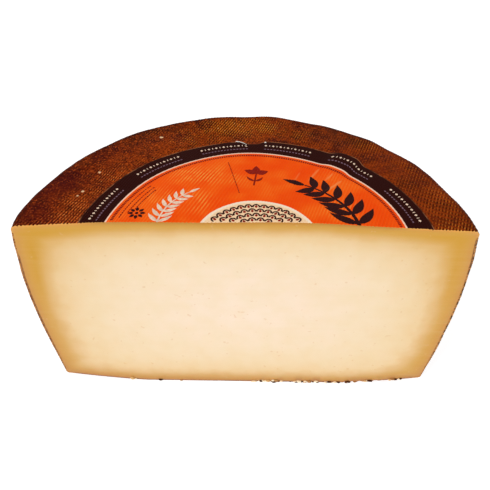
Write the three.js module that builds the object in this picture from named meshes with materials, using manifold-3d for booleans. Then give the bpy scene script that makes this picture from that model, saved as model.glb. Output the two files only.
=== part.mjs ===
// Half a wheel of hard sheep milk cheese. The wheel lay flat and was cut upright, a little in front
// of its axis, and the round paper label on its top was cut through with it. The half stands on the
// flat spot of its underside. Millimetres, Z up, cut face towards -Y, origin under the middle.
import * as THREE from "three";
import { mergeVertices, toCreasedNormals } from "three/addons/utils/BufferGeometryUtils.js";
import Module from "manifold-3d";

// The wheel.
const RIM_RADIUS = 92; // upper and lower rims
const RIM_GAP = 101; // from the lower rim up to the upper rim
const SIDE_INSET = 0.6; // the side starts this far inside the rims
const SIDE_BULGE = 3.4; // how far it swells out halfway up
const SIDE_LEAN = 0.4; // how much fuller it is above the middle, and leaner below
const CROWN = 3.4; // how far the top rises from rim to axis
const FOOT_RADIUS = 50; // flat spot of the underside
const FOOT_RISE = 6; // from the flat spot up to the lower rim
const FOOT_CURVE = 1.35; // power of that rise
const ROUND_HIGH = 2.6; // length of side that the rounded upper rim takes
const ROUND_LOW = 1.7; // and the lower one
const CUT_FROM_AXIS = 5.9; // the knife passed this far from the axis

// Its unevenness. Waves run round the side: how many, how high, where they start at the bottom and
// how far they have turned at the top. A shallower ripple crosses the top both ways.
const SIDE_WAVES = [
  { count: 3, height: 0.25, start: -1.4, drift: 0.7 },
  { count: 9, height: 0.23, start: -0.55, drift: 1.1 },
  { count: 15, height: 0.15, start: 1.7, drift: -1.6 },
];
const RIPPLE = 0.26;
const RIPPLE_LENGTH_X = 82;
const RIPPLE_LENGTH_Y = 69;

// Soft swells of the upper rim: angle round the axis and reach in degrees, and height.
const RIM_SWELLS = [
  { at: 13, reach: 7, height: 0.5 },
  { at: 31, reach: 5, height: 0.3 },
  { at: 51, reach: 9.5, height: 1 },
  { at: 64, reach: 6, height: 0.3 },
  { at: 82, reach: 9, height: 0.85 },
  { at: 106, reach: 11, height: 0.6 },
  { at: 130, reach: 5, height: 0.15 },
  { at: 147, reach: 11, height: 0.5 },
  { at: 172, reach: 9, height: 0.6 },
];
const SWELL_FROM_RADIUS = 80; // they start this far from the axis and above this height
const SWELL_FROM_HEIGHT = 70;

// The label.
const LABEL_RADIUS = 69.9;
const LABEL_X = 4.4; // centre of the label, from the axis
const LABEL_Y = -4.5;
const LABEL_THICK = 0.25;
const LABEL_GAP = 0.3; // clear of the rind below
const LABEL_WAVES = [
  { count: 2, height: 0.45, start: 2.4, drift: 0 },
  { count: 9, height: 0.2, start: -1.5, drift: 0 },
];
const FOLD_ANGLE = THREE.MathUtils.degToRad(54); // the pinched fold near its edge
const FOLD_START = 50; // distance from the label's centre where the fold begins
const FOLD_HEIGHT = 0.9;
const FOLD_PUSH = 2.4; // how far the edge is pushed out there
const FOLD_HALF_WIDTH = 7;
const TEAR_ANGLE = THREE.MathUtils.degToRad(91); // the small bite out of its edge
const TEAR_START = 63;
const TEAR_DEPTH = 2.6;
const TEAR_HALF_WIDTH = 4.2;

// Facets.
const AROUND = 144;
const LABEL_AROUND = 168;
const SIDE_STEPS = 16;
const CROWN_STEPS = 11;
const RISE_STEPS = 7;
const ROUND_STEPS = 4;
const LABEL_RINGS = 9;
const SHARP_EDGE = THREE.MathUtils.degToRad(35); // edges above this angle are shaded sharp

const RIM_LOW = FOOT_RISE;
const RIM_HIGH = FOOT_RISE + RIM_GAP;

const TURN = 2 * Math.PI;

const { clamp, smoothstep, lerp } = THREE.MathUtils;

// Height of the true wheel's top at a distance from the axis.
const crownAt = (radius) => RIM_HIGH + CROWN * (1 - (radius / RIM_RADIUS) ** 2);

// Radius of the true wheel's side at a height.
function sideAt(height) {
  const share = (height - RIM_LOW) / RIM_GAP;
  const swell = SIDE_BULGE * 4 * share * (1 - share);
  const lean = SIDE_LEAN * Math.sin(TURN * share);
  return RIM_RADIUS - SIDE_INSET + swell - lean;
}

// Height of the true wheel's underside at a distance from the axis.
function footAt(radius) {
  const out = Math.max(0, radius - FOOT_RADIUS) / (RIM_RADIUS - FOOT_RADIUS);
  return FOOT_RISE * out ** FOOT_CURVE;
}

// Sum of waves at an angle round the axis and a level from 0 at the bottom to 1 at the top.
function waveSum(waves, angle, level) {
  const each = waves.map((w) => w.height * Math.sin(w.count * angle + w.start + w.drift * level));
  return each.reduce((sum, value) => sum + value, 0);
}

// Upward shift of the top.
function rippleAt(x, y) {
  const acrossX = Math.sin((TURN * x) / RIPPLE_LENGTH_X);
  const acrossY = Math.cos((TURN * y) / RIPPLE_LENGTH_Y);
  const slant = Math.sin((TURN * (x - y)) / RIPPLE_LENGTH_Y);
  return RIPPLE * (acrossX * acrossY + slant / 2);
}

// Height of the upper rim's swells at a distance from the axis, an angle round it and a height.
function rimSwellAt(radius, angle, height) {
  const degrees = THREE.MathUtils.radToDeg(angle);
  const bells = RIM_SWELLS.map((s) => s.height * Math.exp(-(((degrees - s.at) / s.reach) ** 2)));
  const near = smoothstep(radius, SWELL_FROM_RADIUS, RIM_RADIUS) * smoothstep(height, SWELL_FROM_HEIGHT, RIM_HIGH);
  return near * bells.reduce((sum, value) => sum + value, 0);
}

// Moves a point of the true wheel to where the uneven one has it. The flat spot stays flat. The rim's
// swells push the side outwards and the top upwards.
function uneven(point) {
  const radius = Math.hypot(point.x, point.y);
  const angle = Math.atan2(point.y, point.x);
  const level = point.z / RIM_HIGH;
  const outer = smoothstep(radius, FOOT_RADIUS, RIM_RADIUS);
  const upper = smoothstep(level, 0.5, 1);
  const rim = rimSwellAt(radius, angle, point.z);
  const facing = (Math.PI / 2) * clamp((point.z - RIM_HIGH + ROUND_HIGH) / ROUND_HIGH, 0, 1);
  const push = outer * waveSum(SIDE_WAVES, angle, level) + rim * Math.cos(facing);
  const grow = 1 + push / RIM_RADIUS;
  const lift = upper * rippleAt(point.x, point.y) + rim * Math.sin(facing);
  return point.set(point.x * grow, point.y * grow, point.z + lift);
}

// Applies a rule to every vertex of a geometry.
function shape(geometry, rule) {
  const place = geometry.getAttribute("position");
  const point = new THREE.Vector3();
  for (let i = 0; i < place.count; i++) {
    point.fromBufferAttribute(place, i);
    rule(point);
    place.setXYZ(i, point.x, point.y, point.z);
  }
  return geometry;
}

// Spins a profile of radius and height about the upright axis.
const spin = (profile, segments) => new THREE.LatheGeometry(profile, segments).rotateX(Math.PI / 2);

// Points of a rounded corner between two points, with the sharp corner as the control point.
function rounded(from, corner, to) {
  const curve = new THREE.QuadraticBezierCurve(from, corner, to);
  return curve.getPoints(ROUND_STEPS);
}

// The wheel's outline, from the middle of the underside round to the middle of the top.
function wheelProfile() {
  const at = (radius, height) => new THREE.Vector2(radius, height);
  const lowIn = RIM_RADIUS - ROUND_LOW;
  const lowUp = RIM_LOW + ROUND_LOW;
  const highIn = RIM_RADIUS - ROUND_HIGH;
  const highDown = RIM_HIGH - ROUND_HIGH;
  const profile = [at(0, 0), at(FOOT_RADIUS, 0)];
  for (let i = 1; i < RISE_STEPS; i++) {
    const radius = lerp(FOOT_RADIUS, lowIn, i / RISE_STEPS);
    profile.push(at(radius, footAt(radius)));
  }
  profile.push(...rounded(at(lowIn, footAt(lowIn)), at(RIM_RADIUS, RIM_LOW), at(sideAt(lowUp), lowUp)));
  for (let i = 1; i < SIDE_STEPS; i++) {
    const height = lerp(lowUp, highDown, i / SIDE_STEPS);
    profile.push(at(sideAt(height), height));
  }
  const topEdge = at(highIn, crownAt(highIn));
  profile.push(...rounded(at(sideAt(highDown), highDown), at(RIM_RADIUS, RIM_HIGH), topEdge));
  for (let i = 1; i <= CROWN_STEPS; i++) {
    const radius = lerp(highIn, 0, i / CROWN_STEPS);
    profile.push(at(radius, crownAt(radius)));
  }
  return profile;
}

// How fully a point at a distance and an angle is inside a flaw of the label's edge, from 0 to 1.
function flawAt(radius, angle, flawAngle, start, halfWidth) {
  const across = ((angle - flawAngle) * LABEL_RADIUS) / halfWidth;
  return smoothstep(radius, start, LABEL_RADIUS) * Math.exp(-(across ** 4));
}

// Lays a point of the flat label sheet on the wheel's top, with its waver, its fold and its tear.
function layOnTop(point) {
  const radius = Math.hypot(point.x, point.y);
  const angle = Math.atan2(point.y, point.x);
  const fold = flawAt(radius, angle, FOLD_ANGLE, FOLD_START, FOLD_HALF_WIDTH);
  const tear = flawAt(radius, angle, TEAR_ANGLE, TEAR_START, TEAR_HALF_WIDTH);
  const waver = (waveSum(LABEL_WAVES, angle, 0) * radius) / LABEL_RADIUS;
  const reach = radius + waver + FOLD_PUSH * fold - TEAR_DEPTH * tear;
  const x = reach * Math.cos(angle) + LABEL_X;
  const y = reach * Math.sin(angle) + LABEL_Y;
  const above = LABEL_GAP + point.z + FOLD_HEIGHT * fold;
  point.set(x, y, crownAt(Math.hypot(x, y)) + rippleAt(x, y) + above);
}

// A closed sheet in rings about the label's centre, lower face first.
function labelProfile() {
  const rings = Array.from({ length: LABEL_RINGS + 1 }, (_, i) => (LABEL_RADIUS * i) / LABEL_RINGS);
  const lower = rings.map((radius) => new THREE.Vector2(radius, 0));
  const upper = rings.reverse().map((radius) => new THREE.Vector2(radius, LABEL_THICK));
  return [...lower, ...upper];
}

const wasm = await Module();
wasm.setup();

// A closed geometry as a solid that can be cut.
function solid(geometry) {
  const bare = geometry.clone().deleteAttribute("normal").deleteAttribute("uv");
  const merged = mergeVertices(bare, 1e-3);
  return new wasm.Manifold(
    new wasm.Mesh({
      numProp: 3,
      vertProperties: new Float32Array(merged.getAttribute("position").array),
      triVerts: new Uint32Array(merged.index.array),
    }),
  );
}

// A solid's surface as a geometry again, with smooth faces and sharp cuts.
function surface(body) {
  const { vertProperties, triVerts } = body.getMesh();
  const geometry = new THREE.BufferGeometry();
  geometry.setAttribute("position", new THREE.BufferAttribute(vertProperties, 3));
  geometry.setIndex(new THREE.BufferAttribute(triVerts, 1));
  return toCreasedNormals(geometry, SHARP_EDGE);
}

// Everything behind the knife's plane.
function behindCut() {
  const side = 4 * RIM_RADIUS;
  return solid(new THREE.BoxGeometry(side, side, side).translate(0, CUT_FROM_AXIS + side / 2, 0));
}

// Gives the faces of the cut one material and the rest another.
function splitMaterials(geometry, nearCut) {
  const place = geometry.getAttribute("position");
  for (let i = 0; i < place.count; i += 3) {
    const onCut = [i, i + 1, i + 2].every((k) => Math.abs(place.getY(k) - nearCut) < 1e-3);
    geometry.addGroup(i, 3, onCut ? 1 : 0);
  }
  return geometry;
}

const rind = new THREE.MeshStandardMaterial({ color: 0x6b2c10, roughness: 0.75, metalness: 0 });
const paste = new THREE.MeshStandardMaterial({ color: 0xf3d9ad, roughness: 0.6, metalness: 0 });
const paper = new THREE.MeshStandardMaterial({ color: 0xe85a1b, roughness: 0.55, metalness: 0 });

const knife = behindCut();
const wheel = shape(spin(wheelProfile(), AROUND), uneven);
const half = surface(solid(wheel).intersect(knife));
const cheeseHalf = new THREE.Mesh(splitMaterials(half, CUT_FROM_AXIS), [rind, paste]);
cheeseHalf.name = "cheese_half";

const sheet = shape(spin(labelProfile(), LABEL_AROUND), layOnTop);
const paperLabel = new THREE.Mesh(surface(solid(sheet).intersect(knife)), paper);
paperLabel.name = "paper_label";

// The half is stood with its origin under the middle of its outer size.
const stood = new THREE.Group().add(cheeseHalf, paperLabel);
const size = new THREE.Box3().setFromObject(stood);
const middle = size.getCenter(new THREE.Vector3());
stood.position.set(-middle.x, -middle.y, -size.min.z);

export default new THREE.Group().add(stood);
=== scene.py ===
"""Half a wheel of hard sheep milk cheese with its cut paper label, in a plain pale studio.

The file is laid out as a Blender add-on and is run as a script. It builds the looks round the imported
model, in the model's own frame. Shapes are worked out in millimetres in the wheel's frame, which has the
wheel's axis at x = y = 0, the foot at z = 0 and the knife's plane at y = CUT_FROM_AXIS, and then moved
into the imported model's frame in metres.
"""

import math
from typing import NamedTuple

import bpy
import numpy as np
from mathutils import Matrix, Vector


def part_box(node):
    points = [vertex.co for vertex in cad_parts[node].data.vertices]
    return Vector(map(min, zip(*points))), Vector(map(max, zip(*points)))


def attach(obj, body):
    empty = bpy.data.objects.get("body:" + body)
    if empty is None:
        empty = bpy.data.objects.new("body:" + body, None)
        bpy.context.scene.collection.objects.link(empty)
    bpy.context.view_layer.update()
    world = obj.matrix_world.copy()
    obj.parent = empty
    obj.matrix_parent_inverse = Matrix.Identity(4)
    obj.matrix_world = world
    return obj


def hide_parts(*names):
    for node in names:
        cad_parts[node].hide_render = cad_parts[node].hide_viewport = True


bl_info = {
    "name": "Sheep cheese half",
    "version": (1, 0, 0),
    "blender": (4, 5, 0),
    "location": "View3D > Sidebar > Cheese",
    "description": "Builds half a wheel of sheep milk cheese with its rind, cut face and paper label",
    "category": "Add Mesh",
}

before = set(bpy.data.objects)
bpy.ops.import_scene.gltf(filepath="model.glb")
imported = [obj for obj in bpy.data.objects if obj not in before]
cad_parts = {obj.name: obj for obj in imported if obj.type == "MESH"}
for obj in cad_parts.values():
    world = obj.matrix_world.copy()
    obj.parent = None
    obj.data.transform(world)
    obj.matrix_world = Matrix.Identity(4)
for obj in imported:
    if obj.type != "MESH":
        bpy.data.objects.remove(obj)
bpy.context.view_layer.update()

MM = 0.001
TURN = 2 * math.pi

# The wheel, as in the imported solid.
RIM_RADIUS = 92.0
RIM_GAP = 101.0
SIDE_INSET = 0.6
SIDE_BULGE = 3.4
SIDE_LEAN = 0.4
CROWN = 3.4
FOOT_RADIUS = 50.0
FOOT_RISE = 6.0
FOOT_CURVE = 1.35
ROUND_HIGH = 2.6
ROUND_LOW = 1.7
CUT_FROM_AXIS = 5.9
RIM_LOW = FOOT_RISE
RIM_HIGH = FOOT_RISE + RIM_GAP
SIDE_WAVES = ((3, 0.25, -1.4, 0.7), (9, 0.23, -0.55, 1.1), (15, 0.15, 1.7, -1.6))
RIPPLE = 0.26
RIPPLE_LENGTH_X = 82.0
RIPPLE_LENGTH_Y = 69.0

# The label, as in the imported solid.
LABEL_RADIUS = 69.9
LABEL_CENTRE = np.array([4.4, -4.5])
LABEL_WAVES = ((2, 0.45, 2.4, 0.0), (9, 0.2, -1.5, 0.0))
FOLD_ANGLE = math.radians(54)
FOLD_START = 50.0
FOLD_HEIGHT = 0.9
FOLD_PUSH = 2.4
FOLD_HALF_WIDTH = 7.0
TEAR_ANGLE = math.radians(91)
TEAR_START = 63.0
TEAR_DEPTH = 2.6
TEAR_HALF_WIDTH = 4.2

# The knife's plane, from the label's centre.
LABEL_NEAR = CUT_FROM_AXIS - LABEL_CENTRE[1]

# The rind's soft lumps: size across, height, seed of the noise.
LUMPS = ((13.0, 0.4, 3), (6.5, 0.14, 4))
PITS = (3.6, 0.09, 5)
LATTICE = 24

# Soft swells of the upper rim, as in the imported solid: angle round the axis, reach and height.
SWELL_FROM_RADIUS = 80.0
SWELL_FROM_HEIGHT = 70.0
RIM_SWELLS = (
    (13, 7, 0.5),
    (31, 5, 0.3),
    (51, 9.5, 1.0),
    (64, 6, 0.3),
    (82, 9, 0.85),
    (106, 11, 0.6),
    (130, 5, 0.15),
    (147, 11, 0.5),
    (172, 9, 0.6),
)

# The cloth marks: their direction on the top, and how they bend (size across, reach, seed of the noise).
RIB_ANGLE = math.radians(68)
RIB_BEND = (34.0, 2.4, 11)
WEAVE_SHARE = 0.42

# Places on the top where the rind is worn and its ridges get painted highlights, warm, dusky, wine red,
# flecked or bare: x, y, reach, strength.
OCHRE_SPOTS = (
    (-4, 81, 9, 1.2),
    (7, 79, 9, 1.2),
    (-14, 79, 8, 0.9),
    (-31, 70, 9, 0.6),
    (-66, 27, 8, 1.1),
    (-59, 39, 7, 0.9),
    (-71, 14, 7, 1.1),
    (-46, 72, 6, 0.5),
    (-79, 44, 5, 0.5),
    (86, 29, 7, 0.6),
    (76, 50, 7, 0.5),
    (58, 68, 6, 0.5),
    (26, 72, 6, 0.5),
)
WARM_SPOTS = (
    (-69, 12, 8, 0.6),
    (-71, 24, 7, 0.7),
    (-56, 46, 9, 0.6),
    (-40, 57, 9, 0.5),
    (-28, 65, 8, 0.4),
    (0, 76, 12, 0.6),
    (14, 84, 8, 0.5),
    (83, 32, 6, 0.8),
    (74, 18, 7, 0.4),
    (-73, 52, 5, 0.6),
)
DUSK_SPOTS = (
    (52, 71, 8, 0.9),
    (40, 78, 8, 0.9),
    (28, 77, 8, 0.4),
    (67, 35, 5, 0.5),
    (79, 37, 5, 0.4),
    (86, 14, 7, 0.4),
    (-52, 71, 9, 0.6),
    (-39, 79, 8, 0.5),
    (-46.3, 58, 4, 0.4),
    (-68, 59, 8, 0.4),
)
WINE_SPOTS = (
    (-81, 13, 7, 0.7),
    (-83, 28, 8, 0.8),
    (-73.5, 5, 6, 0.4),
    (-76, 38, 7, 0.7),
    (-70.8, 31, 5, 0.6),
    (-61, 42, 4, 0.5),
    (-67, 54.5, 6, 0.6),
    (-89, 10, 6, 0.6),
)
PALE_FLECKS = (
    (-64, 41.3, 0.8, 0.9),
    (-40.4, 69.5, 0.9, 1.2),
    (-68.2, 27.6, 0.8, 1),
    (-69.6, 24.4, 0.7, 0.8),
)
BARE_SPOTS = (
    (-78, 30, 10, 0.9),
    (-86, 14, 9, 0.9),
    (-57, 62, 12, 0.6),
    (34, 84, 9, 0.6),
)

# Places on the label where painted highlights lighten the ridges of the pressed ribs on the orange.
RIB_HIGHLIGHT_SPOTS = (
    (-30, 42, 7, 1),
    (-20, 41, 6, 0.9),
    (-23, 23, 6, 0.9),
    (-39, 26, 6, 0.6),
    (-9, 39, 5, 0.5),
    (-55, 15, 5, 0.4),
    (35, 20, 6, 0.7),
    (32, 46, 5, 0.3),
)

# Faint creases of the label: direction in degrees, start and end along it, and height.
CREASES = (
    (47, 36, 56, 0.3),
    (53, 44, 58, 0.24),
    (60, 40, 58, 0.24),
    (67, 34, 52, 0.18),
)
CREASE_HALF_WIDTH = 0.7
LABEL_BED = 0.25
LABEL_CLEAR = 0.02
INK_LIFT = 0.06
INK_STEP = 0.36

# Facets.
TOP_COLUMNS = 700
TOP_ROWS = 84
HIDDEN_COLUMNS = 160
SIDE_COLUMNS = 724
SIDE_ROWS = 126
LABEL_COLUMNS = 500
LABEL_ROWS = 150
ROUND_ROWS = 11
HIDDEN_ROWS = 9
FOOT_ROWS = 15
FOOT_END_COLUMNS = 110
LABEL_BACK_STEP = 6

# Crumbs along the foot of the cut: from, to and how many.
CRUMB_STRETCHES = (
    (7.5, 12, 6),
    (14, 21, 12),
    (27, 39, 14),
    (42, 50, 11),
    (54, 56, 3),
    (62, 67, 6),
    (77, 83, 6),
    (8, 84, 16),
    (-70, 8, 6),
)

# Where the side's own rind starts and ends, how deep it goes, and how far its ends pass the knife's plane.
SEAM_HIGH = RIM_HIGH - 3.4
SEAM_LOW_RADIUS = 87.5
RECESS = 0.55
CUT_PROUD = 0.03

# Where the top's close rows start under the label, and how far hidden rows are sunk.
LABEL_TUCK = 66.0
HIDDEN_SUNK = 0.5

# The cut face: half the length of its middle line, that line's height, how many points are averaged
# along the top, and the depths of its rings.
SPINE_HALF = 38.0
SPINE_HEIGHT = 54.0
CALM_REACH = 13
RINGS = (0, 0.6, 1.0, 1.5, 2.2, 3.6, 5.5, 8.5, 13, 20, 31, 54)

# Reaches from the label's centre at which its printed fields end, and the places of its ornament.
MIDDLE_REACH = 23.8
FIELD_REACH = 58.7
LINE_REACH = 59.4
EDGE_REACH = 69.35
ARCH_RADII = (12.6, 15.4, 18.2, 21.0)
RING_GROUPS = (160, 131, 103, 77, 50, 22)
UPPER_ROW = 66.0
LOWER_ROW = 63.0
INNER_DASHES = 57.2
SHORT_ROWS = ((55.0, 143, 166), (51.2, 144, 160), (53.0, 143, 163))

# The stage: the floor, the key light's spread and turns, the camera's place in the wheel's frame, its
# turns, and half a pixel of its view.
FLOOR_HALF = 4.0
FLOOR_DROP = 0.0001
FLOOR_GLOW = 0.76
KEY_SPREAD = math.radians(14)
KEY_TURNS = (math.radians(52), 0, math.radians(-48))
EYE = (1.325, CUT_FROM_AXIS - 158.9, RIM_HIGH + 142.2)
PITCH, YAW, ROLL = 0.7596, -0.0063, 0.0089
HALF_PIXEL = 0.5 / 545.55


def screen(red, green, blue):
    """A colour given as it shows on a screen, from 0 to 255, as the linear colour that materials hold."""
    share = np.array([red, green, blue]) / 255
    linear = np.where(share <= 0.04045, share / 12.92, ((share + 0.055) / 1.055) ** 2.4)
    return tuple(float(value) for value in linear)


def length(name, description, default):
    """A property for a length in metres."""
    return bpy.props.FloatProperty(
        name=name, description=description, default=default, unit="LENGTH", precision=5
    )


def colour(name, description, default):
    """A property for a colour."""
    return bpy.props.FloatVectorProperty(
        name=name, description=description, default=default, subtype="COLOR", min=0, max=1
    )


class CheeseSizes(bpy.types.PropertyGroup):
    """Sizes of the cloth marks, the rind and the paper."""

    rib_pitch: length("Rib pitch", "From one rib of the cloth mark on the top to the next", 0.00126)
    rib_height: length("Rib height", "How far the ribs on the top rise and fall", 0.00028)
    weave_pitch: length("Weave pitch", "From one cross thread to the next", 0.0023)
    side_pitch: length("Side pitch", "From one upright rib on the side to the next", 0.0016)
    side_height: length("Side rib height", "How far the ribs on the side rise and fall", 0.00016)
    paper: length("Paper thickness", "Thickness of the label", 0.00013)
    crumb: length("Crumb size", "Size of a crumb along the foot of the cut", 0.0018)


class CheeseColours(bpy.types.PropertyGroup):
    """Colours of the rind, the paste and the printed label."""

    rind_dark: colour("Dark rind", "Rind on the left", screen(106, 29, 7))
    rind_warm: colour("Warm rind", "Rind on the right", screen(140, 51, 4))
    rind_wine: colour("Wine rind", "Dark red blotches", screen(76, 12, 10))
    # Ochre of the ridges: partly wear, partly painted highlight.
    rind_ridge_wear_and_highlight: colour("Worn rind", "Ridges of the cloth mark where the rind is worn", screen(226, 136, 38))
    # Colour of painted shade in the valleys of the cloth mark and along the rounded rim.
    rind_painted_shade: colour("Valleys", "Valleys of the cloth mark", screen(52, 14, 4))
    rind_cut: colour("Cut rind", "Edge of the rind on the cut", screen(118, 66, 30))
    paste_middle: colour("Paste", "Middle of the cut face", screen(242, 220, 198))
    paste_border: colour("Paste border", "Ochre band round the cut face", screen(204, 150, 38))
    label_field: colour("Label field", "Main field of the label", screen(250, 75, 3))
    label_ring: colour("Label ring", "Dark ring of the label", screen(46, 10, 5))
    label_edge: colour("Label edge", "Worn edge of the paper", screen(158, 98, 62))
    label_line: colour("Label line", "Thin line inside the ring", screen(255, 210, 182))
    label_middle: colour("Label middle", "Round middle of the label", screen(255, 216, 172))
    ink_dark: colour("Dark ink", "Large dark ornament", screen(52, 12, 10))
    ink_red: colour("Red ink", "Small dark red marks", screen(150, 26, 4))
    ink_brown: colour("Brown ink", "Lines of the label's middle", screen(58, 18, 12))
    ink_cream: colour("Cream ink", "Cream ornament", screen(252, 220, 192))
    ink_grey: colour("Grey ink", "Lower row of the ring's ornament", screen(128, 98, 112))


class StageLook(bpy.types.PropertyGroup):
    """Light and camera."""

    lens: bpy.props.FloatProperty(name="Lens", description="Focal length in millimetres", default=40.08)
    sky: bpy.props.FloatProperty(name="Sky", description="Strength of the even white light", default=0.6)
    key: bpy.props.FloatProperty(name="Key", description="Strength of the soft key light", default=1.36)


# The wheel's form.


def smooth(value, low, high):
    """A share that eases from 0 at low to 1 at high."""
    share = np.clip((value - low) / (high - low), 0, 1)
    return share * share * (3 - 2 * share)


def blend(first, second, share):
    """The way from first to second by a share."""
    return first + (second - first) * share


def bell(away, reach):
    """A bell of the distance from its middle: 1 there, and 1/e at its reach."""
    return np.exp(-((away / reach) ** 2))


def flat_points(x, y, z=0.0):
    """Points from their x and y, all at one height."""
    return np.stack([x, y, np.full_like(x, z)], -1)


def crown_at(radius):
    """Height of the true top: highest at the axis, falling by the square of the radius."""
    return RIM_HIGH + CROWN * (1 - (radius / RIM_RADIUS) ** 2)


def side_at(height):
    """Radius of the true side: a parabola between the rims, with a sine that leans it upwards."""
    share = (height - RIM_LOW) / RIM_GAP
    swell = SIDE_BULGE * 4 * share * (1 - share)
    return RIM_RADIUS - SIDE_INSET + swell - SIDE_LEAN * np.sin(TURN * share)


def foot_at(radius):
    """Height of the true underside: flat in the middle, then rising by a power of the radius."""
    out = np.maximum(0, radius - FOOT_RADIUS) / (RIM_RADIUS - FOOT_RADIUS)
    return FOOT_RISE * out**FOOT_CURVE


def wave_sum(waves, angle, level):
    """Sum of sines round the axis whose start turns with the level."""
    return sum(rise * np.sin(count * angle + start + drift * level) for count, rise, start, drift in waves)


def ripple_at(x, y):
    """Lift of the uneven top: two crossed waves and one slanting wave."""
    crossed = np.sin(TURN * x / RIPPLE_LENGTH_X) * np.cos(TURN * y / RIPPLE_LENGTH_Y)
    return RIPPLE * (crossed + np.sin(TURN * (x - y) / RIPPLE_LENGTH_Y) / 2)


def rim_swell_at(radius, angle, height):
    """Height of the upper rim's swells: a sum of bells round it, eased in from the top and the side."""
    turn = np.degrees(angle)
    bells = sum(rise * bell(turn - at, reach) for at, reach, rise in RIM_SWELLS)
    outer = smooth(radius, SWELL_FROM_RADIUS, RIM_RADIUS)
    return bells * outer * smooth(height, SWELL_FROM_HEIGHT, RIM_HIGH)


def uneven(points):
    """Points of the true wheel moved to the uneven one: swollen by the waves, and the top lifted. The
    rim's swells push the side outwards and the top upwards."""
    x, y, z = np.moveaxis(points, -1, 0)
    radius, angle, level = np.hypot(x, y), np.arctan2(y, x), z / RIM_HIGH
    rim = rim_swell_at(radius, angle, z)
    facing = np.clip((z - RIM_HIGH + ROUND_HIGH) / ROUND_HIGH, 0, 1) * math.pi / 2
    outer = smooth(radius, FOOT_RADIUS, RIM_RADIUS)
    grow = 1 + (outer * wave_sum(SIDE_WAVES, angle, level) + rim * np.cos(facing)) / RIM_RADIUS
    lift = smooth(level, 0.5, 1) * ripple_at(x, y) + rim * np.sin(facing)
    return np.stack([x * grow, y * grow, z + lift], -1)


def noise(points, size, seed):
    """Smooth noise from -1 to 1: random values on a cubic lattice, blended by eased shares of a cell."""
    lattice = np.random.default_rng(seed).uniform(-1, 1, (LATTICE,) * 3)
    place = np.asarray(points) / size
    cell = np.floor(place).astype(int)
    share = place - cell
    share = share * share * (3 - 2 * share)
    total = np.zeros(place.shape[:-1])
    for corner in np.ndindex(2, 2, 2):
        weight = np.prod(np.where(corner, share, 1 - share), axis=-1)
        at = (cell + corner) % LATTICE
        total += weight * lattice[at[..., 0], at[..., 1], at[..., 2]]
    return total


def lumps_at(points):
    """Height of the rind's soft lumps: smooth noise at two sizes."""
    return sum(height * noise(points, size, seed) for size, height, seed in LUMPS)


def spots_at(x, y, spots):
    """Sum of round spots, each a bell of the distance from its middle."""
    return sum(
        strength * bell(np.hypot(x - at_x, y - at_y), reach) for at_x, at_y, reach, strength in spots
    )


def cloth(ribs, threads):
    """Cloth mark from -1 to 1 by the turns of its ribs and threads: a sine across the ribs, made stronger
    and weaker by one along them."""
    return np.sin(TURN * ribs) * (1 - WEAVE_SHARE + WEAVE_SHARE * np.sin(TURN * threads))


def label_reach(x, y):
    """Distance from the label's centre."""
    return np.hypot(x - LABEL_CENTRE[0], y - LABEL_CENTRE[1])


def beside_label(x, y, reach):
    """1 at the label's edge and under it, dying away outside it."""
    return np.exp(-np.maximum(label_reach(x, y) - LABEL_RADIUS, 0) / reach)


def near_cut_at(y):
    """1 at the knife's plane, dying away behind it."""
    return np.exp(-(y - CUT_FROM_AXIS) / 5.0)


def top_marks(x, y, sizes):
    """Turns of the ribs and threads on the top, how strongly they show, and how worn they are, which also
    sets where painted highlights lighten their ridges.
    """
    flat = flat_points(x, y)
    size, reach, seed = RIB_BEND
    across = x * math.sin(RIB_ANGLE) - y * math.cos(RIB_ANGLE) + reach * noise(flat, size, seed)
    along = x * math.cos(RIB_ANGLE) + y * math.sin(RIB_ANGLE) + reach * noise(flat, size, seed + 1)
    beside = beside_label(x, y, 5) * (1 - smooth(x, -20, 5))
    # Wear with painted highlights on the ridges: the ochre spots, and a band beside the label on the left.
    worn = spots_at(x, y, OCHRE_SPOTS) * (0.75 + 0.5 * noise(flat, 4.0, 21))
    worn = np.clip(worn + beside * (0.3 + 0.5 * noise(flat, 3.0, 26)), 0, 1)
    near_cut = near_cut_at(y)
    outer = smooth(np.hypot(x, y), 85, 91) * (1 - near_cut)
    patchy = 0.6 + 0.3 * noise(flat, 11.0, 22) + 0.5 * worn + 0.5 * near_cut
    bare = np.clip(spots_at(x, y, BARE_SPOTS) + 0.6 * outer, 0, 1) * (1 - near_cut)
    strength = np.clip(patchy * (1 - bare), 0.12, 1.2)
    worn = np.clip(worn + 0.5 * near_cut, 0, 1)
    return {
        "ribs": across / (sizes.rib_pitch / MM),
        "threads": along / (sizes.weave_pitch / MM),
        "strength": strength,
        "worn": worn,
    }


def label_cover(x, y):
    """1 under the label and 0 outside it."""
    return 1 - smooth(label_reach(x, y), LABEL_RADIUS - 2.6, LABEL_RADIUS - 0.6)


def bed_marks(x, y, sizes):
    """Height of the pressed ribs under the label, and their turns and strength."""
    marks = top_marks(x, y, sizes)
    strength = np.clip(0.3 + 0.4 * marks["strength"] + 0.3 * near_cut_at(y), 0, 1)
    rise = cloth(marks["ribs"], marks["threads"]) * strength
    kept = {"ribs": marks["ribs"], "threads": marks["threads"], "strength": strength}
    return LABEL_BED + 0.45 * sizes.rib_height / MM * rise, kept


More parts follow.
